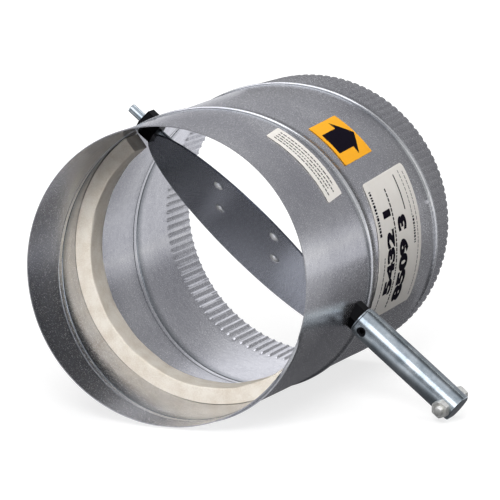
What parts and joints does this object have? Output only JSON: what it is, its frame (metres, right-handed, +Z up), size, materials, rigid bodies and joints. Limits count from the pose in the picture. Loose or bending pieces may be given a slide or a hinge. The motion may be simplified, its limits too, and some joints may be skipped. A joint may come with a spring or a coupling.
{
  "type": "barometric damper",
  "caption": "Round in-line pressure relief damper: spiral pipe with a crimped outlet, an off-centre pivoting blade, a foam stop and a counterweight bar.",
  "frame": {"origin": "centre of the plain inlet rim, on the pipe's axis", "axes": "+Y along the pipe from the inlet to the crimped outlet, +Z up with the damper lying on its seam and on the end of its bar, +X to the bar's side"},
  "size_m": [0.2813, 0.267, 0.2078],
  "materials": {
    "galvanised_steel": "galvanised, spangled",
    "stop_foam": "open-cell foam, matt",
    "black_nylon": "moulded",
    "white_vinyl": "printed vinyl",
    "yellow_vinyl": "printed vinyl",
    "plated_steel": "bright zinc plate",
    "blade_sheet": "galvanised, reflecting the dark",
    "rivet_aluminium": "bright",
    "black_screw": "black oxide"
  },
  "bodies": {
    "duct": {"duct_shell": "galvanised_steel", "foam_stop": "stop_foam", "bushing_left": "black_nylon", "bushing_right": "black_nylon", "bushing_nut_left": "black_nylon", "bushing_nut_right": "black_nylon", "notice_sticker": "white_vinyl", "arrow_sticker": "yellow_vinyl", "data_sticker": "white_vinyl"},
    "blade": {"shaft": "plated_steel", "blade_plate": "blade_sheet", "blade_strap_left": "blade_sheet", "blade_strap_right": "blade_sheet", "blade_rivets": "rivet_aluminium", "thrust_washer": "plated_steel", "counterweight_bar": "plated_steel", "bar_set_screw": "black_screw", "bar_cross_bolt": "plated_steel", "bar_cross_nut": "plated_steel"}
  },
  "joints": [
    {"name": "blade_pivot", "type": "hinge", "parent": "duct", "child": "blade", "pos_m": [0.01965, 0.10128, 0.02474], "axis": [0.783, 0, -0.622], "range_deg": [-56.6, 33.4]}
  ]
}
